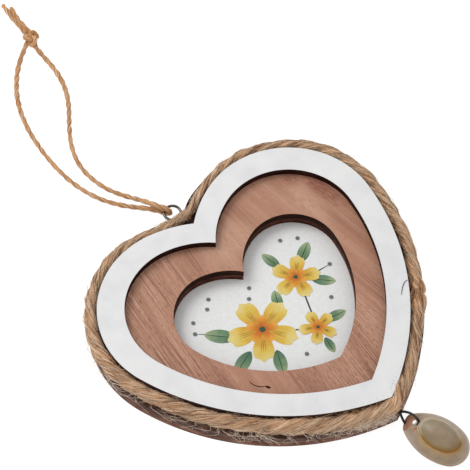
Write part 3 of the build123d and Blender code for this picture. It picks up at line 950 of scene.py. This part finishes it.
cowrie = {
    "reach": 1.7, "length": 24.2, "nearRadius": 3.7, "farRadius": 6.75, "flankRadius": 19.0, "dome": 8.8,
    "belly": 3.35, "margin": 3.2, "floor": 0.02, "segments": (128, 96), "widestStep": 0.05,
    "widestSteps": (-60, 121), "facet": (4.7, -1.64, 6.56), "facetNormal": (-0.85, -0.31, 0.42),
    "sharpAngle": 0.5, "softRim": 0.25, "softSteps": 3, "hole": (6.7, -1.45, 8.9), "holeRadius": 0.92,
    "holeRun": (-0.35, 0.5, -1.0), "holeLength": 24, "holeSides": 28, "channel": 0.6, "channelSides": 12,
    "channelSmoothness": 4, "slot": (5.6, 21.5), "slotWidth": 0.7, "slotTaper": 0.5, "tooth": 0.32,
    "toothStep": 0.55, "slotDepth": 2.4,
}
glaze = {  # places in the pendant's own mm
    "ring": ((15.6, -1.0), (8.0, 4.9)), "wobble": (0.28, 2.0), "wander": (0.1, -0.05),
    "ringShare": 0.5,  # where the ring lies in the two rows of tones
    # painted highlights: the paler band just outside the ring in the near row, the brightened pale lines
    # along the ring in the far row
    "nearSideWithHighlight": [
        (0.0, "#A9957E"), (0.36, "#9B876A"), (0.435, "#93763F"), (0.466, "#875D20"), (0.49, "#B7863C"),
        (0.52, "#B59A74"), (0.62, "#9C866B"), (0.8, "#9F866A"), (0.95, "#BFA88F"),
    ],
    "farSideWithHighlight": [
        (0.0, "#A7937D"), (0.4, "#A0937C"), (0.445, "#CFC4AF"), (0.465, "#9C8153"), (0.485, "#D6CBB7"),
        (0.505, "#A0824F"), (0.53, "#AC9C8A"), (0.62, "#A4927E"), (0.95, "#B4A08A"),
    ],
    "slant": -0.22, "sideEdge": (-5.3, -2.1),
    "fades": ((8.5, 11.5, 1.0, 0.0), (22.5, 25.0, 0.0, 0.5)),  # along the shell, where the ring fades
    "stain": ((7.6, -3.25), (0.65, 0.9)), "stainEdge": (0.3, 1.0, 0.85, 0.0), "stainTone": "#B2621E",
    "clouds": (0.45, 4.0), "cloudShare": 0.5,
    "cloudTones": [(0.3, "#C8BEB4"), (0.5, "#E4DED8"), (0.7, "#FFF6EE")],
}


def blackCord():
    # Waxed cotton cord: black, a little shiny, with a fine twist
    return cloudyFinish(
        "waxedBlackCotton", {"Roughness": 0.45, "Specular IOR Level": 0.4}, (0.35, 3.0),
        [(0.35, "#070605"), (0.75, "#2A2522")], (0.35, 3.0, 0.1, 0.6),
    )


def underKnot():
    low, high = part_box("pendant_knot")
    return Vector(((low.x + high.x) / 2, (low.y + high.y) / 2, 0))


def pendantTurn():
    return math.radians(pendant["heading"] - 90)


def pendantPlace():  # along, across and up in mm from under the knot to the world
    turn = Matrix.Rotation(pendantTurn(), 4, "Z")
    return Matrix.Translation(underKnot()) @ turn @ Matrix.Scale(mm, 4)


def buildPendant():
    black, place, radius, sides = blackCord(), pendantPlace(), pendant["cordRadius"], pendant["sides"]
    route, bends, tail = [
        [place @ Vector(point) for point in pendant[part]] for part in ("route", "bends", "tail")
    ]
    points = splinePoints("pendantLine", route, pendant["smoothness"])
    cord = wireMesh("pendantCord", points, radius, sides)
    ways = ("pendant_cord", "shell", *bends)
    finishPiece("pendantCord", cord, [black], ways, ["pendant_cord"])
    low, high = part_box("pendant_knot")
    size, count = pendant["knotSize"], pendant["knotPoints"]
    form = Matrix.Rotation(math.pi / 2, 3, "X") @ Matrix.Diagonal((size, size, pendant["knotRise"])) * mm
    turns = [(low + high) / 2 + form @ trefoil(fullTurn * i / count) for i in range(count)]
    knot = wireMesh("pendantKnot", turns, radius * pendant["knotThin"], sides, True)
    finishPiece("pendantKnot", knot, [black], "pendant_cord", ["pendant_knot"])
    low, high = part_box("cord_anchor")
    middle, steps = (low + high) / 2, pendant["anchorSteps"]
    held = [Vector((middle.x, low.y + (high.y - low.y) * i / steps, middle.z)) for i in range(steps + 1)]
    anchor = wireMesh("cordAnchor", held, radius, sides)
    finishPiece("cordAnchor", anchor, [black], "frame", ["cord_anchor"])
    points = splinePoints("tailLine", tail, pendant["tailSmoothness"])
    end = wireMesh("cordTail", points, radius * pendant["tailThin"], sides)
    finishPiece("cordTail", end, [black], "frame")
    print("pendant cord tied")
    return route


def cowrieGlaze():
    # Cowrie porcelain: glossy, grey-beige on the back inside a golden ring, pinkish towards the margin,
    # with painted highlights on the ring's pale lines and just outside it
    material, tree = newMaterial("cowriePorcelain", {"Roughness": 0.36, "Specular IOR Level": 0.4})
    sets = {"Location": underKnot(), "Rotation": (0, 0, pendantTurn()), "Scale": (mm, mm, mm)}
    local = addNode(
        tree, "Mapping", {"vector_type": "TEXTURE", **sets, "Vector": objectPlace(tree)}
    ).outputs["Vector"]
    wander = maths(tree, "MULTIPLY_ADD", grained(tree, local, *glaze["wobble"]), *glaze["wander"])
    reach = maths(tree, "ADD", ovalReach(tree, local, *glaze["ring"]), wander)
    share = maths(tree, "MULTIPLY", reach, glaze["ringShare"])
    # the second ramp, for the far side, carries the painted highlight on the ring's pale lines
    near, thin = [ramp(tree, share, glaze[side]) for side in ("nearSideWithHighlight", "farSideWithHighlight")]
    axes = addNode(tree, "SeparateXYZ", {"Vector": local}).outputs
    slant = maths(tree, "MULTIPLY_ADD", axes["X"], glaze["slant"], axes["Y"])
    faded = remap(tree, slant, *glaze["sideEdge"])
    for fade in glaze["fades"]:
        faded = maths(tree, "MAXIMUM", faded, remap(tree, axes["X"], *fade))
    stained = remap(tree, ovalReach(tree, local, *glaze["stain"]), *glaze["stainEdge"])
    colour = mixColours(tree, stained, mixColours(tree, faded, near, thin), linear(glaze["stainTone"]))
    tint = ramp(tree, grained(tree, local, *glaze["clouds"]), glaze["cloudTones"])
    dress(tree, mixColours(tree, glaze["cloudShare"], colour, tint, "MULTIPLY"))
    return material


def groundShell():
    # Shell ground flat: matt reddish brown with the layers showing as cloudy streaks
    return cloudyFinish(
        "groundShellEdge", {"Roughness": 0.5}, (1.6, 4.0),
        [(0.3, "#9A6450"), (0.5, "#B27D63"), (0.7, "#C59A7D")], (1.6, 4.0, 0.05, 0.4),
    )


def nacre():
    # Inner shell: pale, satin, a little cloudy
    tones = [(0.3, "#CFC2B2"), (0.7, "#F0E9DE")]
    return cloudyFinish("paleShellInside", {"Roughness": 0.4}, (1.2, 3.0), tones)


def eggRadius(along):  # an oval of three tangent arcs: narrow end, flank and wide end
    x, flankRadius, farRadius = along - cowrie["reach"], cowrie["flankRadius"], cowrie["farRadius"]
    near, far = cowrie["nearRadius"], cowrie["length"] - farRadius
    nearReach, farReach, run = flankRadius - near, flankRadius - farRadius, far - near
    step = (nearReach**2 - farReach**2 + run**2) / (2 * run)
    flankX, flankY = near + step, -math.sqrt(nearReach**2 - step**2)
    if x < flankX - step * flankRadius / nearReach:
        return math.sqrt(max(near**2 - (x - near) ** 2, 0))
    if x > flankX + (run - step) * flankRadius / farReach:
        return math.sqrt(max(farRadius**2 - (x - far) ** 2, 0))
    return flankY + math.sqrt(flankRadius**2 - (x - flankX) ** 2)


def eggMesh(bm):
    around, rings = cowrie["segments"]
    middle = cowrie["reach"] + cowrie["length"] / 2
    widest = max(eggRadius(middle + i * cowrie["widestStep"]) for i in range(*cowrie["widestSteps"]))
    verts = bmesh.ops.create_uvsphere(bm, u_segments=around, v_segments=rings, radius=1)["verts"]
    for vert in verts:
        along = middle + vert.co.z * cowrie["length"] / 2
        flatwise = math.hypot(vert.co.x, vert.co.y) or 1
        radius = eggRadius(along)
        across, rise = vert.co.x / flatwise * radius, vert.co.y / flatwise * radius / widest
        height = cowrie["margin"] + rise * (cowrie["dome"] if rise > 0 else cowrie["belly"])
        vert.co = (along, across, max(height, cowrie["floor"]))


def shellBlank(place):  # the egg with its end ground off
    bm = bmesh.new()
    eggMesh(bm)
    cut = bmesh.ops.bisect_plane(
        bm, geom=bm.verts[:] + bm.edges[:] + bm.faces[:], plane_co=cowrie["facet"],
        plane_no=cowrie["facetNormal"], clear_outer=True,
    )
    facet = bmesh.ops.contextual_create(bm, geom=only(bmesh.types.BMEdge, cut["geom_cut"]))["faces"]
    smoothFaces(bm)
    for face in facet:
        face.material_index, face.smooth = 1, False
    bm.transform(place)
    faceOutward(bm)
    rims = [edge for edge in bm.edges if edge.calc_face_angle(0) > cowrie["sharpAngle"]]
    soften(bm, rims, cowrie["softRim"], cowrie["softSteps"])
    return meshOf("cowrieShell", bm)


def cutterObject(name, bm, place):  # what it cuts shows the shell's inside
    bm.transform(place)
    faceOutward(bm)
    smoothFaces(bm)
    for face in bm.faces:
        face.material_index = 2
    return bpy.data.objects.new(name, meshOf(name, bm))


def boreCutter(place):
    bm, radius = bmesh.new(), cowrie["holeRadius"]
    bmesh.ops.create_cone(
        bm, cap_ends=True, segments=cowrie["holeSides"], radius1=radius, radius2=radius,
        depth=cowrie["holeLength"],
    )
    run = Vector(cowrie["holeRun"]).to_track_quat("Z", "Y").to_matrix().to_4x4()
    return cutterObject("bore", bm, place @ Matrix.Translation(cowrie["hole"]) @ run)


def slotCutter(place):  # the toothed slot in the shell's underside
    bm, (first, last), step = bmesh.new(), cowrie["slot"], cowrie["toothStep"]
    count = round((last - first) / step)
    grid = bmesh.ops.create_grid(bm, x_segments=count, y_segments=1, size=1)["verts"]
    for n, vert in enumerate(grid):
        row, column = divmod(n, count + 1)
        narrow = cowrie["slotWidth"] * (1 - cowrie["slotTaper"] * abs(2 * column / count - 1) ** 4)
        half = narrow + cowrie["tooth"] * (column % 2)
        vert.co = (first + step * column, half * (2 * row - 1), -1)
    raiseFaces(bm, 1 + cowrie["slotDepth"])
    return cutterObject("slot", bm, place)


def buildCowrie(route):
    place, materials = pendantPlace(), [cowrieGlaze(), groundShell(), nacre()]
    mesh = shellBlank(place)
    for material in materials:
        mesh.materials.append(material)
    line = splinePoints("channelLine", route, cowrie["channelSmoothness"])
    channel = wireMesh("channel", line, cowrie["channel"], cowrie["channelSides"])
    cutters = [boreCutter(place), slotCutter(place), bpy.data.objects.new("channel", channel)]
    shell = bpy.data.objects.new("cowrieCarving", mesh)
    for cutter in cutters:
        bpy.context.scene.collection.objects.link(cutter)
        carve = shell.modifiers.new(cutter.name, "BOOLEAN")
        carve.operation, carve.solver, carve.object = "DIFFERENCE", "EXACT", cutter
    carved = bakedMesh(shell)
    for cutter in cutters:
        bpy.data.objects.remove(cutter)
    finishPiece("cowrieShell", carved, materials, "shell", ["cowrie_shell"])
    print("cowrie carved,", len(carved.polygons), "faces")


# Picture card with a printed flower spray

def printedCard():
    # Coated card: smooth near white, barely glossy, with a faint paper tooth
    return cloudyFinish(
        "coatedWhiteCard", {"Roughness": 0.5, "Specular IOR Level": 0.35}, (1.2, 4.0),
        [(0.3, "#ECECEB"), (0.7, "#F4F4F3")], (1.2, 4.0, 0.01, 0.3),
    )


inkTones = {  # tones from the root to the end, and size of the blots in mm
    "yellowInk": ([(0.2, "#C9791F"), (0.38, "#D9A338"), (0.6, "#E5C355"), (0.8, "#EBD68A")], 3.0),
    "orangeInk": ([(0.2, "#B4531A"), (0.5, "#DB8428"), (0.8, "#EFB04A")], 2.0),
    "greenInk": ([(0.2, "#3F6350"), (0.5, "#6F8F6C"), (0.8, "#A9B98F")], 2.5),
    "darkGreenInk": ([(0.3, "#27452F"), (0.7, "#3E5C45")], 1.5),
    "greyInk": ([(0.3, "#4A4B4C"), (0.7, "#8C8D8E")], 1.2),
    "ochreInk": ([(0.3, "#9A6B1C"), (0.7, "#B98A33")], 1.5),
}
blots = {"share": 0.4, "detail": 4.0}


def watercolour(name, stops, blotMm):
    # Printed watercolour: thin ink, cloudy, its tone running from the root of each petal or leaf to its end
    material, tree = newMaterial(name, {"Roughness": 0.5, "Specular IOR Level": 0.35})
    run = addNode(tree, "Attribute", {"attribute_name": "run"}).outputs["Fac"]
    clouds = grained(tree, objectPlace(tree), perMm(blotMm), blots["detail"])
    dress(tree, ramp(tree, mixValues(tree, blots["share"], run, clouds), stops))
    return material


spray = {
    "ink": 0.02, "layers": 5, "rim": 0.16,  # height of the print, steps in it, width of the outlines, in mm
    "stemWidth": 0.6, "ribWidth": 0.3, "veinWidth": 0.25, "lineTaper": 0.7,
    "petals": 5, "petalPoints": 32, "petalNeck": 0.3, "frill": 0.05, "frillWaves": 9,
    "outerWaist": 0.42, "innerWaist": 0.4, "innerSize": 0.45, "heartSize": 0.09,
    "veins": (0.3, 0.5, 0.7), "veinLeans": (-0.1, 0, 0.1),  # along the petal, and how far to its side
    "leafPoints": 24, "leafWidth": 0.24, "leafPoint": 0.4, "ribs": (-0.45, -0.1, 0.2, 0.42),
    "dotRadius": 0.75, "dotPoints": 10,
    # x, y, size and turn of each
    "blossoms": [(-9.0, 3.0, 12.0, 12.0), (13.5, 9.5, 8.5, 40.0), (5.0, -9.5, 6.5, 75.0)],
    "leaves": [
        (-21.0, 11.0, 11.0, 130.0), (-22.5, -1.5, 10.0, 195.0), (-13.5, -10.0, 9.5, 240.0),
        (2.5, 7.5, 8.0, 60.0), (22.5, 14.5, 9.0, 25.0), (19.5, 2.0, 8.5, -50.0), (12.0, 20.0, 8.0, 95.0),
        (12.5, -10.5, 8.0, -15.0), (3.0, -17.0, 6.5, 255.0),
    ],
    "stems": [
        [(-9, 3), (-4, -2), (0, -6), (5, -9.5)], [(13.5, 9.5), (11, 3), (8, -3), (5, -9.5)],
        [(-26, 17), (-21, 12), (-15, 7), (-9, 3)], [(25, 5), (20, 6), (13.5, 9.5)],
    ],
    "dots": [
        (-26.5, 17.5), (-24, 21), (-17, 21.5), (-14, 24), (25.5, 5), (25, 20), (20, 23.5), (-4, 14.5),
        (-1, 17.5), (16.5, -4.5), (-5, -14),
    ],
}


def printVert(bm, spot, height):
    return bmesh.ops.create_vert(bm, co=(spot.x * mm, spot.y * mm, height))["vert"][0]


def flatPatch(bm, outline, height, rimIndex, fillIndex):  # outline of (point in mm, share of the run)
    run = bm.verts.layers.float.get("run") or bm.verts.layers.float.new("run")
    verts = []
    for point, share in outline:
        verts.append(printVert(bm, point, height))
        verts[-1][run] = share
    face = bm.faces.new(verts)
    face.normal_update()
    if face.normal.z < 0:
        face.normal_flip()
    rim = bmesh.ops.inset_region(
        bm, faces=[face], thickness=spray["rim"] * mm, use_even_offset=True
    )["faces"]
    face.material_index = fillIndex
    for edge in rim:
        edge.material_index = rimIndex


def inkLine(bm, points, width, height, index):  # a thin printed line that tapers to its ends
    rows, last = [], len(points) - 1
    for i, point in enumerate(points):
        ahead = (points[min(i + 1, last)] - points[max(i - 1, 0)]).normalized()
        taper = 1 - spray["lineTaper"] * abs(2 * i / last - 1) ** 2
        half = Vector((-ahead.y, ahead.x)) * (width / 2 * taper)
        rows.append([printVert(bm, spot, height) for spot in (point + half, point - half)])
    for (a, b), (c, d) in zip(rows, rows[1:]):
        bm.faces.new((a, b, d, c)).material_index = index


def petalPoint(middle, size, turn, along, across):
    return middle + Matrix.Rotation(math.radians(turn), 2) @ Vector((size * along, size * across))


def turnsOf(count):
    return [fullTurn * i / count for i in range(count)]


def petalOutline(middle, size, turn, waist):
    outline, neck = [], spray["petalNeck"]
    for t in turnsOf(spray["petalPoints"]):
        along, across = 0.5 - 0.5 * math.cos(t), math.sin(t)
        width = waist * across * (neck + (1 - neck) * along)
        tip = along + spray["frill"] * math.cos(spray["frillWaves"] * across) * along**4
        outline.append((petalPoint(middle, size, turn, tip, width), along))
    return outline


def leafOutline(middle, size, turn):
    outline = []
    for t in turnsOf(spray["leafPoints"]):
        along = -0.5 * math.cos(t)
        across = spray["leafWidth"] * math.sin(t) * abs(math.sin(t)) ** spray["leafPoint"]
        outline.append((petalPoint(middle, size, turn, along, across), along + 0.5))
    return outline


def dotOutline(middle, radius):
    return [(middle + heading(turn) * radius, 0.5) for turn in turnsOf(spray["dotPoints"])]


def buildPicture():
    low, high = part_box("picture_card")
    grow = (high.x - low.x) / mm / 2 - heartCut["picture"][0] / 2
    heartLayer("pictureCard", "picture_card", [("picture", grow)], [printedCard()] * 3)
    yellow, amber, leafGreen, deepGreen, grey, ochre = range(6)
    inks = [watercolour(name, *tones) for name, tones in inkTones.items()]
    bm, fifth = bmesh.new(), 360 / spray["petals"]
    height, step = high.z + spray["ink"] * mm, spray["ink"] / spray["layers"] * mm
    for stem in spray["stems"]:
        inkLine(bm, [Vector(point) for point in stem], spray["stemWidth"], height, deepGreen)
    height += step
    for x, y, size, turn in spray["leaves"]:
        middle = Vector((x, y))
        flatPatch(bm, leafOutline(middle, size, turn), height, deepGreen, leafGreen)
        ribs = [petalPoint(middle, size, turn, share, 0) for share in spray["ribs"]]
        inkLine(bm, ribs, spray["ribWidth"], height + step, deepGreen)
    height += 2 * step
    for x, y, size, turn in spray["blossoms"]:
        middle, inner = Vector((x, y)), size * spray["innerSize"]
        for petal in range(spray["petals"]):
            toward = turn + fifth * petal
            flatPatch(bm, petalOutline(middle, size, toward, spray["outerWaist"]), height, ochre, yellow)
            for lean in spray["veinLeans"]:
                vein = [petalPoint(middle, size, toward, along, lean * along) for along in spray["veins"]]
                inkLine(bm, vein, spray["veinWidth"], height + step, ochre)
            height += 2 * step
        for petal in range(spray["petals"]):
            toward = turn + fifth / 2 + fifth * petal
            flatPatch(bm, petalOutline(middle, inner, toward, spray["innerWaist"]), height, ochre, amber)
            height += step
        flatPatch(bm, dotOutline(middle, size * spray["heartSize"]), height, deepGreen, deepGreen)
    for spot in spray["dots"]:
        flatPatch(bm, dotOutline(Vector(spot), spray["dotRadius"]), height, grey, grey)
    finishPiece("pictureSpray", bm, inks, "frame")
    print("picture printed")


# Camera, floor and light

cameraFit = {
    "turn": 44.44, "rise": 58.46, "scale": 2.994, "focal": 2000.0, "centre": (288.2, 306.1), "frame": 470,
    "sensor": 36.0, "clip": (0.01, 20.0),
}
studio = {
    "world": 0.64, "key": 3.6, "keyFrom": (-0.15, 0.62, 0.75), "keySize": 0.5, "floor": "#8C8C8C",
    "glow": 0.9, "white": (1, 1, 1, 1), "floorSize": 2.0, "floorDrop": 0.05,
}


def buildCamera():
    turn, rise = math.radians(cameraFit["turn"]), math.radians(cameraFit["rise"])
    scale, half = cameraFit["scale"], cameraFit["frame"] / 2
    right = Vector((math.cos(turn), -math.sin(turn), 0))
    level = Vector((math.sin(turn), math.cos(turn), 0))
    up = level * math.sin(rise) + zAxis * math.cos(rise)
    look = level * math.cos(rise) - zAxis * math.sin(rise)
    shiftX, shiftY = [(c - half) / scale for c in cameraFit["centre"]]
    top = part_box("front_panel")[1].z
    place = zAxis * top + (up * shiftY - right * shiftX - look * (cameraFit["focal"] / scale)) * mm
    data = bpy.data.cameras.new("camera")
    data.sensor_width = cameraFit["sensor"]
    data.lens = data.sensor_width * cameraFit["focal"] / cameraFit["frame"]
    data.clip_start, data.clip_end = cameraFit["clip"]
    camera = bpy.data.objects.new("camera", data)
    camera.matrix_world = Matrix.Translation(place) @ Matrix((right, up, -look)).transposed().to_4x4()
    bpy.context.scene.collection.objects.link(camera)
    bpy.context.scene.camera = camera


def buildStudio():
    scene = bpy.context.scene
    scene.view_settings.view_transform = "Standard"
    world = bpy.data.worlds.new("softStudio")
    world.use_nodes = True
    sky = world.node_tree.nodes["Background"].inputs
    sky["Color"].default_value, sky["Strength"].default_value = studio["white"], studio["world"]
    scene.world = world
    light = bpy.data.lights.new("keyLight", "AREA")
    light.energy, light.size = studio["key"], studio["keySize"]
    key = bpy.data.objects.new("keyLight", light)
    key.location = studio["keyFrom"]
    key.rotation_euler = (-key.location).to_track_quat("-Z", "Y").to_euler()
    scene.collection.objects.link(key)
    # Floor paper: even and almost white, with only a soft shadow under the frame
    pale, _ = newMaterial("paleFloor", {
        "Roughness": 0.9, "Base Color": linear(studio["floor"]), "Emission Color": studio["white"],
        "Emission Strength": studio["glow"],
    })
    bm = bmesh.new()
    bmesh.ops.create_grid(bm, x_segments=1, y_segments=1, size=studio["floorSize"])
    bmesh.ops.translate(bm, verts=bm.verts[:], vec=(0, 0, -studio["floorDrop"] * mm))
    mesh = meshOf("floor", bm)
    mesh.materials.append(pale)
    floor = bpy.data.objects.new("floor", mesh)
    scene.collection.objects.link(floor)
    print("studio set")


buildCamera()
buildStudio()
buildLayers()
buildRope()
buildLoop()
buildEye()
buildCowrie(buildPendant())
buildPicture()
